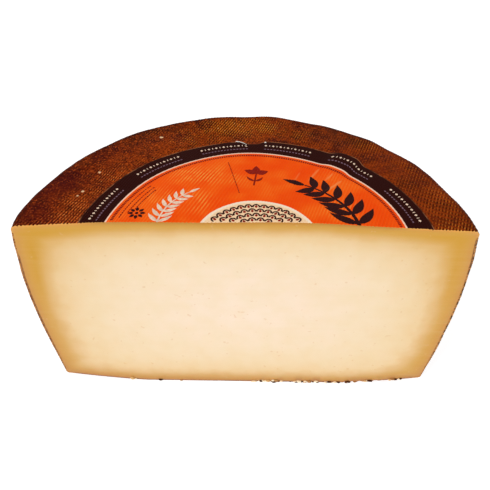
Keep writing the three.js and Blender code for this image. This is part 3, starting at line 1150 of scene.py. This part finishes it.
class Look:
    """A material under construction: adds nodes and joins them."""

    def __init__(self, name):
        self.material = bpy.data.materials.new(name)
        self.material.use_nodes = True
        self.tree = self.material.node_tree
        self.shader = self.tree.nodes["Principled BSDF"]
        self.place = self.add("ShaderNodeTexCoord").outputs["Object"]

    def add(self, kind, sockets=None, **settings):
        """One node with its settings, and values or links for its sockets."""
        made = self.tree.nodes.new(kind)
        for key, value in settings.items():
            setattr(made, key, value)
        for socket, value in (sockets or {}).items():
            self.put(made.inputs[socket], value)
        return made

    def put(self, socket, value):
        """A link or a plain value for a socket."""
        if isinstance(value, bpy.types.NodeSocket):
            self.tree.links.new(value, socket)
        elif socket.type == "RGBA" and len(value) == 3:
            socket.default_value = (*value, 1)
        else:
            socket.default_value = value

    def math(self, operation, first, second=0.0):
        """The result of one sum on two numbers."""
        return self.add("ShaderNodeMath", {0: first, 1: second}, operation=operation).outputs[0]

    def times(self, *values):
        """The product of several numbers."""
        total = values[0]
        for value in values[1:]:
            total = self.math("MULTIPLY", total, value)
        return total

    def along(self, axis):
        """The place along one axis of the object, in metres."""
        return self.add("ShaderNodeSeparateXYZ", {0: self.place}).outputs[axis]

    def value(self, name):
        """A value that the mesh carries on its points."""
        return self.add("ShaderNodeAttribute", attribute_name=name).outputs["Fac"]

    def ease(self, value, low, high, start=0.0, end=1.0):
        """A number eased from start to end while the value goes from low to high."""
        sockets = {"Value": value, "From Min": low, "From Max": high, "To Min": start, "To Max": end}
        return self.add("ShaderNodeMapRange", sockets, interpolation_type="SMOOTHSTEP").outputs["Result"]

    def mix(self, share, first, second):
        """The way from one colour to another by a share."""
        made = self.add("ShaderNodeMix", data_type="RGBA")
        self.put(made.inputs["Factor"], share)
        self.put(made.inputs[6], first)
        self.put(made.inputs[7], second)
        return made.outputs[2]

    def grain(self, size, detail=2.0, stretch=None):
        """Noise from 0 to 1 with features of a size in millimetres, stretched along each axis if asked."""
        place = self.place
        if stretch:
            place = self.add("ShaderNodeMapping", {"Vector": place, "Scale": stretch}).outputs[0]
        sockets = {"Vector": place, "Scale": 1 / (size * MM), "Detail": detail}
        return self.add("ShaderNodeTexNoise", sockets).outputs["Fac"]

    def ramp(self, value, stops):
        """A colour by a number from 0 to 1, through colours at stops."""
        made = self.add("ShaderNodeValToRGB", {"Fac": value})
        elements = made.color_ramp.elements
        while len(elements) < len(stops):
            elements.new(0.5)
        for element, (place, tint) in zip(elements, stops):
            element.position = place
            element.color = (*tint, 1)
        return made.outputs["Color"]

    def cloth_mark(self, weave=WEAVE_SHARE):
        """The cloth mark from -1 to 1, worked out like cloth from the turns that the mesh carries."""
        ribs, threads = (
            self.math("SINE", self.times(self.value(name), TURN)) for name in ("ribs", "threads")
        )
        woven = self.math("ADD", self.times(threads, weave), 1 - weave)
        return self.times(ribs, woven, self.value("strength"))

    def bump(self, height, strength, distance):
        """A bumped normal from a height."""
        sockets = {"Height": height, "Strength": strength, "Distance": distance * MM}
        return self.add("ShaderNodeBump", sockets).outputs["Normal"]

    def finish(self, base, roughness, normal=None, **constants):
        """Joins the base colour, the roughness and the bump to the shader and sets its constants."""
        self.put(self.shader.inputs["Base Color"], base)
        self.put(self.shader.inputs["Roughness"], roughness)
        if normal:
            self.put(self.shader.inputs["Normal"], normal)
        for name, value in constants.items():
            self.shader.inputs[name.replace("_", " ")].default_value = value
        return self.material


def rind_material(colours):
    """Brown rind: darker on the left, mottled, worn to ochre on ridges in patches where painted highlights
    lighten them too, with painted glints on worn ridges, and painted shade in the valleys and along the
    rounded rim.
    """
    look = Look("rind")
    mark, worn, rim = look.cloth_mark(), look.value("worn"), look.value("rim")
    across = look.along("X")
    slow = look.grain(24, 2)
    warmth = look.ease(across, -0.085, -0.02, 0.0, 0.7)
    warmth = look.math("ADD", warmth, look.ease(slow, 0.3, 0.7, 0, 0.3))
    base = look.mix(warmth, tuple(colours.rind_dark), tuple(colours.rind_warm))
    calm = look.ease(across, 0.0, 0.06, 1.0, 0.5)
    mottle = look.grain(2.2, 6)
    base = look.mix(look.ease(look.grain(5.5, 3), 0.5, 0.68, 0, 0.5), base, screen(84, 30, 6))
    for share, tint in (
        (look.ease(look.grain(9, 4), 0.5, 0.58, 0, 0.9), tuple(colours.rind_wine)),
        (look.ease(mottle, 0.52, 0.66, 0, 0.8), screen(56, 14, 4)),
        (look.ease(mottle, 0.48, 0.34, 0, 0.55), screen(160, 62, 10)),
    ):
        base = look.mix(look.times(share, calm), base, tint)
    patchy = look.ease(look.grain(4, 3), 0.35, 0.6, 0.45, 1.0)
    for name, share, tint in (
        ("warm", 0.75, screen(164, 66, 14)),
        ("dusk", 0.75, screen(64, 26, 8)),
        ("wine", 0.9, tuple(colours.rind_wine)),
    ):
        base = look.mix(look.times(look.value(name), share, patchy), base, tint)
    speckle = look.grain(0.8, 2)
    calm = look.times(calm, look.ease(look.value("wine"), 0.2, 0.8, 1.0, 0.45))
    base = look.mix(look.times(look.ease(speckle, 0.46, 0.34, 0, 0.85), calm), base, screen(48, 11, 4))
    base = look.mix(look.times(look.ease(speckle, 0.56, 0.68, 0, 0.75), calm), base, screen(200, 88, 28))
    broken = look.ease(look.grain(4.5, 2), 0.4, 0.62, 0.3, 1.0)
    broken = look.math("MAXIMUM", broken, look.ease(across, 0.0, 0.05))
    mark = look.times(mark, look.math("MAXIMUM", broken, worn))
    # Ridges lightened to ochre in the worn patches: partly wear, partly painted highlight.
    ridge = look.ease(mark, 0.0, 0.6)
    amount = look.math("ADD", look.times(worn, 0.95), 0.14)
    amount = look.times(amount, look.ease(speckle, 0.36, 0.56, 0.3, 1.0))
    rightness = look.ease(across, -0.06, -0.012)
    ridge_tint = look.mix(rightness, screen(222, 112, 44), tuple(colours.rind_ridge_wear_and_highlight))
    base = look.mix(look.times(ridge, amount), base, ridge_tint)
    # Painted glints: small pale highlights on the worn ridges.
    glints = look.ease(look.grain(1.1, 1), 0.64, 0.72)
    base = look.mix(look.times(glints, worn, 0.6, ridge), base, screen(250, 190, 120))
    # Painted shade in the valleys of the cloth mark.
    base = look.mix(look.ease(mark, -0.05, -0.6, 0, 0.75), base, tuple(colours.rind_painted_shade))
    # Painted shade along the rounded rim.
    base = look.mix(look.times(rim, 0.75), base, tuple(colours.rind_painted_shade))
    base = look.mix(look.ease(look.value("fleck"), 0.35, 0.7), base, screen(238, 196, 150))
    height = look.math("ADD", look.times(mark, 0.5), look.times(look.grain(0.5, 3), 0.5))
    roughness = look.ease(slow, 0.3, 0.7, 0.5, 0.66)
    return look.finish(base, roughness, look.bump(height, 0.45, 0.2), Specular_IOR_Level=0.018)


def foot_material(colours):
    """The rind of the underside: the same brown with a bumped cloth mark."""
    look = Look("rind_foot")
    sockets = {"Vector": look.place, "Scale": 250.0, "Distortion": 1.2, "Detail": 1.0, "Detail Scale": 0.05}
    first = look.add("ShaderNodeTexWave", sockets, bands_direction="X").outputs["Fac"]
    second = look.add("ShaderNodeTexWave", sockets, bands_direction="Y").outputs["Fac"]
    cloth_mark = look.times(first, second)
    base = look.mix(look.grain(9, 4), tuple(colours.rind_dark), tuple(colours.rind_warm))
    # Ridges of the underside's cloth mark lightened by the ochre of wear and painted highlight.
    base = look.mix(look.ease(cloth_mark, 0.3, 0.9, 0, 0.3), base, tuple(colours.rind_ridge_wear_and_highlight))
    return look.finish(base, 0.6, look.bump(cloth_mark, 0.6, 0.3), Specular_IOR_Level=0.06)


def rind_cut_material(colours):
    """The thin edge of the rind where it is cut through."""
    look = Look("rind_cut")
    across, upward = look.along("X"), look.along("Z")
    dashes = look.ease(look.grain(1.1, 1), 0.38, 0.6)
    dark = look.mix(look.ease(across, -0.02, 0.02), tuple(colours.rind_cut), screen(96, 60, 28))
    base = look.mix(dashes, dark, screen(190, 134, 78))
    low = look.ease(upward, 0.04, 0.02, 0, 0.35)
    low = look.math("MAXIMUM", look.ease(upward, 0.011, 0.007, 0, 0.8), low)
    base = look.mix(low, base, screen(200, 142, 86))
    return look.finish(base, 0.55, look.bump(look.grain(0.6, 2), 0.2, 0.1), Specular_IOR_Level=0.03)


def paste_material(colours):
    """Pale paste: cream in the middle, ochre towards the outline, a brown line at the rind, faint drag
    lines of the knife and small specks."""
    look = Look("paste")
    cloud = look.grain(9, 2)
    depth = look.times(look.value("depth"), look.ease(cloud, 0.25, 0.75, 0.86, 1.14))
    share = look.math("DIVIDE", depth, 30.0)
    stops = (
        (0.0, screen(186, 126, 42)),
        (0.05, screen(200, 149, 68)),
        (0.1, screen(209, 163, 92)),
        (0.17, screen(222, 184, 129)),
        (0.25, screen(230, 200, 153)),
        (0.37, screen(233, 207, 166)),
        (0.57, screen(236, 213, 179)),
        (1.0, tuple(colours.paste_middle)),
    )
    base = look.ramp(share, stops)
    for name, share, tint in (
        ("corner", 0.85, tuple(colours.paste_border)),
        ("band", look.ease(cloud, 0.3, 0.7, 0.5, 0.8), screen(200, 147, 34)),
        ("pink", 0.55, screen(210, 152, 92)),
        ("under", 0.75, screen(174, 118, 68)),
        ("lip", 0.7, screen(240, 172, 84)),
    ):
        base = look.mix(look.times(look.value(name), share), base, tint)
    drag = look.grain(7, 3, (0.12, 1.0, 3.2))
    base = look.mix(look.ease(drag, 0.45, 0.8, 0, 0.08), base, screen(232, 196, 146))
    specks = look.ease(look.grain(2.3, 1), 0.7, 0.78, 0, 0.35)
    base = look.mix(specks, base, screen(214, 168, 112))
    edge = look.math("ADD", look.value("shell"), look.times(look.grain(1.4, 2), 0.5))
    base = look.mix(look.ease(edge, 0.6, 1.15, 0.85, 0), base, tuple(colours.rind_cut))
    height = look.math("ADD", look.times(drag, 0.35), look.times(look.grain(0.8, 3), 0.35))
    constants = {"Specular_IOR_Level": 0.25, "Subsurface_Weight": 0.08, "Subsurface_Scale": 0.003}
    return look.finish(base, 0.55, look.bump(height, 0.25, 0.15), **constants)


def label_material(colours):
    """Printed paper by its reach from the centre: cream middle, orange field, pale line, dark ring, with
    painted highlights on the pressed ribs and along the creases.
    """
    look = Look("label_paper")
    reach, mark = look.value("reach"), look.cloth_mark(0.15)
    cloud = look.grain(14, 3)
    field = look.mix(look.ease(cloud, 0.3, 0.72, 0, 1), tuple(colours.label_field), screen(255, 98, 14))
    # Painted highlights on the pressed ribs: pale orange on their ridges, in spots and faintly in cloudy
    # patches.
    hatch = look.times(look.value("hatch"), look.ease(look.grain(5, 1), 0.38, 0.6, 0.3, 1.0))
    hatch = look.math("ADD", hatch, look.ease(cloud, 0.5, 0.7, 0.03, 0.2))
    field = look.mix(look.times(hatch, look.ease(mark, 0.0, 0.5)), field, screen(255, 164, 66))
    middle = look.mix(look.ease(reach, 22.4, 23.0), tuple(colours.label_middle), screen(255, 234, 206))
    # Painted highlight along the creases.
    field = look.mix(look.ease(look.value("crease"), 0.25, 0.9, 0, 0.55), field, screen(255, 158, 88))
    base = look.mix(look.ease(reach, MIDDLE_REACH, MIDDLE_REACH + 0.3), middle, field)
    base = look.mix(look.ease(reach, FIELD_REACH, FIELD_REACH + 0.2), base, tuple(colours.label_line))
    base = look.mix(look.ease(reach, LINE_REACH, LINE_REACH + 0.2), base, tuple(colours.label_ring))
    edge = look.ease(reach, EDGE_REACH, EDGE_REACH + 0.25)
    edge = look.times(edge, look.ease(look.grain(6, 2), 0.4, 0.6, 0.15, 0.9))
    base = look.mix(edge, base, tuple(colours.label_edge))
    return look.finish(base, 0.5, look.bump(look.grain(0.7, 2), 0.15, 0.05), Specular_IOR_Level=0.025)


def ink_material(name, tint):
    """Printing ink with a slightly uneven tone."""
    look = Look(name)
    deep = tuple(0.8 * part for part in tint)
    base = look.mix(look.ease(look.grain(1.5, 2), 0.35, 0.65), deep, tuple(tint))
    return look.finish(base, 0.45, look.bump(look.grain(0.7, 2), 0.1, 0.05), Specular_IOR_Level=0.06)


def torn_material():
    """The white core of torn paper."""
    look = Look("torn_paper")
    base = look.mix(look.grain(0.8, 2), screen(236, 226, 214), screen(255, 250, 240))
    return look.finish(base, 0.8, look.bump(look.grain(0.3, 2), 0.4, 0.1), Specular_IOR_Level=0.1)


def crumb_material():
    """Crumbs of paste and rind, from dark brown to pale."""
    look = Look("crumb")
    stops = (
        (0.32, screen(74, 36, 14)),
        (0.44, screen(150, 96, 46)),
        (0.6, screen(222, 180, 120)),
        (0.75, screen(250, 230, 196)),
    )
    base = look.ramp(look.value("tone"), stops)
    return look.finish(base, 0.7, look.bump(look.grain(0.4, 2), 0.4, 0.1), Specular_IOR_Level=0.06)


# Operators.


class MakeHalfWheel(bpy.types.Operator):
    """Builds the half wheel: top, rim, underside and cut face"""

    bl_idname = "sheep_cheese.half_wheel"
    bl_label = "Half wheel"

    def execute(self, context):
        scene = context.scene
        kinds = (rind_material, paste_material, foot_material)
        materials = [kind(scene.cheese_colours) for kind in kinds]
        patches = half_wheel_patches(scene.cheese_sizes)
        make_piece("half_wheel", patches, materials, ["cheese_half"])
        return {"FINISHED"}


class MakeSideRind(bpy.types.Operator):
    """Builds the cloth-marked rind of the side"""

    bl_idname = "sheep_cheese.side_rind"
    bl_label = "Side rind"

    def execute(self, context):
        scene = context.scene
        materials = [bpy.data.materials["rind"], rind_cut_material(scene.cheese_colours)]
        patches = side_rind_patches(scene.cheese_sizes)
        make_piece("side_rind", patches, materials, ["cheese_half"])
        return {"FINISHED"}


class MakeLabel(bpy.types.Operator):
    """Builds the paper label with its fold and tear"""

    bl_idname = "sheep_cheese.label"
    bl_label = "Paper label"

    def execute(self, context):
        scene = context.scene
        materials = [label_material(scene.cheese_colours)]
        make_piece("label_sheet", label_patches(scene.cheese_sizes), materials, ["paper_label"])
        return {"FINISHED"}


class MakePrint(bpy.types.Operator):
    """Lays the printed ornament on the label"""

    bl_idname = "sheep_cheese.print"
    bl_label = "Label print"

    def execute(self, context):
        scene = context.scene
        colours = scene.cheese_colours
        pale, grey = ring_rows()
        dark = branch((13.5, 60), 41.0, 0.8, 12.5, 3.7, 0.8, 6)
        cream = branch((166, 134), 39.5, 1.0, 6.6, 1.7, 0.4, 7)
        arches, leaves = scallops()
        red = fine_rows() + herb((-1.0, 41.5), 14.0) + leaves
        inks = {
            "print_dark": (dark + rosette((-47.0, 15.6), 7.0, 8), colours.ink_dark),
            "print_cream": (pale + cream, colours.ink_cream),
            "print_grey": (grey, colours.ink_grey),
            "print_red": (red, colours.ink_red),
            "print_brown": (arches, colours.ink_brown),
        }
        for name, (shapes, tint) in inks.items():
            materials = [ink_material(name, tint)]
            make_piece(name, print_patches(shapes, scene.cheese_sizes), materials)
        return {"FINISHED"}


class MakeTears(bpy.types.Operator):
    """Adds the white lips of torn paper at the tear"""

    bl_idname = "sheep_cheese.tears"
    bl_label = "Torn lips"

    def execute(self, context):
        sizes = context.scene.cheese_sizes
        t = np.linspace(0, 1, 12)
        path = np.stack([blend(-9.4, -4.4, t), blend(69.4, 67.8, t**1.3)], -1)
        left = stroke(path, blend(0.3, 0.1, t), 4)
        right = dot((4.4, 68.9), 0.9)
        patches = []
        for shape, lift in ((left, 0.32), (right, 0.22)):
            upper, _ = lay_on_top(shape, lift, sizes)
            upper = facing_up(shape, upper)
            patches += sheet_patches(upper, upper - np.array([0, 0, 0.12]))
        make_piece("torn_lips", patches, [torn_material()])
        return {"FINISHED"}


class MakeCrumbs(bpy.types.Operator):
    """Scatters small crumbs along the foot of the cut"""

    bl_idname = "sheep_cheese.crumbs"
    bl_label = "Crumbs"

    def execute(self, context):
        size = context.scene.cheese_sizes.crumb / MM
        draw = np.random.default_rng(8)
        places = np.concatenate([draw.uniform(*stretch) for stretch in CRUMB_STRETCHES])
        around, down = np.meshgrid(np.linspace(0, TURN, 9), np.linspace(0, math.pi, 6))
        ball = np.stack([np.cos(around) * np.sin(down), np.sin(around) * np.sin(down), np.cos(down)], -1)
        ball[:, -1] = ball[:, 0]
        patches = []
        for at in places:
            reach = size / 2 * draw.uniform(0.35, 1.3) * draw.uniform(0.6, 1.1, 3) * (1.4, 0.7, 0.75)
            lumpy = ball * (1 + 0.3 * noise(ball + at, 0.7, 41)[..., None])
            y = CUT_FROM_AXIS - draw.uniform(-0.1, 0.35)
            z = float(foot_at(np.hypot(at, CUT_FROM_AXIS))) + reach[2] * draw.uniform(0.6, 1.6)
            points = np.array([at, y, z]) + lumpy * reach
            points[..., 2] = np.maximum(points[..., 2], 0)
            patches.append(grid_patch(points, tone=draw.uniform()))
        make_piece("crumbs", patches, [crumb_material()])
        return {"FINISHED"}


class MakeStage(bpy.types.Operator):
    """Sets the pale floor, the light and the camera"""

    bl_idname = "sheep_cheese.stage"
    bl_label = "Stage"

    def execute(self, context):
        look = context.scene.stage_look
        make_floor()
        make_light(look)
        make_camera(look)
        return {"FINISHED"}


def make_floor():
    """A wide white floor just under the foot that glows a little, so that shadows on it stay faint."""
    mesh = bpy.data.meshes.new("floor")
    signs = ((-1, -1), (1, -1), (1, 1), (-1, 1))
    corners = [(x * FLOOR_HALF, y * FLOOR_HALF, -FLOOR_DROP) for x, y in signs]
    mesh.from_pydata(corners, [], [(0, 1, 2, 3)])
    look = Look("floor")
    white = look.finish(screen(188, 188, 188), 0.9, Specular_IOR_Level=0.0, Emission_Strength=FLOOR_GLOW)
    look.shader.inputs["Emission Color"].default_value = (1, 1, 1, 1)
    mesh.materials.append(white)
    floor = bpy.data.objects.new("floor", mesh)
    bpy.context.scene.collection.objects.link(floor)


def make_light(look):
    """An even white sky and one soft key light from the left and a little in front."""
    scene = bpy.context.scene
    scene.world = scene.world or bpy.data.worlds.new("sky")
    scene.world.use_nodes = True
    background = scene.world.node_tree.nodes["Background"]
    background.inputs["Color"].default_value = (1, 1, 1, 1)
    background.inputs["Strength"].default_value = look.sky
    sun = bpy.data.lights.new("key", "SUN")
    sun.energy = look.key
    sun.angle = KEY_SPREAD
    key = bpy.data.objects.new("key", sun)
    key.rotation_euler = KEY_TURNS
    scene.collection.objects.link(key)
    scene.view_settings.view_transform = "Standard"


def make_camera(look):
    """The camera at the photograph's angle, looking down at the cut face."""
    ahead = np.array([math.sin(YAW), math.cos(YAW), 0])
    forward = math.cos(PITCH) * ahead - np.array([0, 0, math.sin(PITCH)])
    level = np.array([math.cos(YAW), -math.sin(YAW), 0])
    upward = np.cross(level, forward)
    right = math.cos(ROLL) * level + math.sin(ROLL) * upward
    up = math.cos(ROLL) * upward - math.sin(ROLL) * level
    forward = forward - HALF_PIXEL * right + HALF_PIXEL * up
    forward /= np.linalg.norm(forward)
    up = up - up @ forward * forward
    up /= np.linalg.norm(up)
    right = np.cross(forward, up)
    data = bpy.data.cameras.new("camera")
    data.lens = look.lens
    data.clip_start = 0.01
    camera = bpy.data.objects.new("camera", data)
    turned = Matrix(np.stack([right, up, -forward], -1).tolist()).to_4x4()
    camera.matrix_world = Matrix.Translation(to_frame(EYE).tolist()) @ turned
    bpy.context.scene.collection.objects.link(camera)
    bpy.context.scene.camera = camera


OPERATORS = (MakeHalfWheel, MakeSideRind, MakeLabel, MakePrint, MakeTears, MakeCrumbs, MakeStage)


class CheesePanel(bpy.types.Panel):
    """Lists the pieces and their settings"""

    bl_idname = "SHEEP_CHEESE_PT_parts"
    bl_label = "Sheep cheese"
    bl_space_type = "VIEW_3D"
    bl_region_type = "UI"
    bl_category = "Cheese"

    def draw(self, context):
        for operator in OPERATORS:
            self.layout.operator(operator.bl_idname)
        scene = context.scene
        for group in (scene.cheese_sizes, scene.cheese_colours, scene.stage_look):
            box = self.layout.box()
            for name in group.__annotations__:
                box.prop(group, name)


CLASSES = (CheeseSizes, CheeseColours, StageLook, *OPERATORS, CheesePanel)


def register():
    for cls in CLASSES:
        bpy.utils.register_class(cls)
    bpy.types.Scene.cheese_sizes = bpy.props.PointerProperty(type=CheeseSizes)
    bpy.types.Scene.cheese_colours = bpy.props.PointerProperty(type=CheeseColours)
    bpy.types.Scene.stage_look = bpy.props.PointerProperty(type=StageLook)


def unregister():
    del bpy.types.Scene.stage_look
    del bpy.types.Scene.cheese_colours
    del bpy.types.Scene.cheese_sizes
    for cls in reversed(CLASSES):
        bpy.utils.unregister_class(cls)


def main():
    register()
    bpy.ops.sheep_cheese.half_wheel()
    bpy.ops.sheep_cheese.side_rind()
    bpy.ops.sheep_cheese.label()
    bpy.ops.sheep_cheese.print()
    bpy.ops.sheep_cheese.tears()
    bpy.ops.sheep_cheese.crumbs()
    bpy.ops.sheep_cheese.stage()


if __name__ == "__main__":
    main()
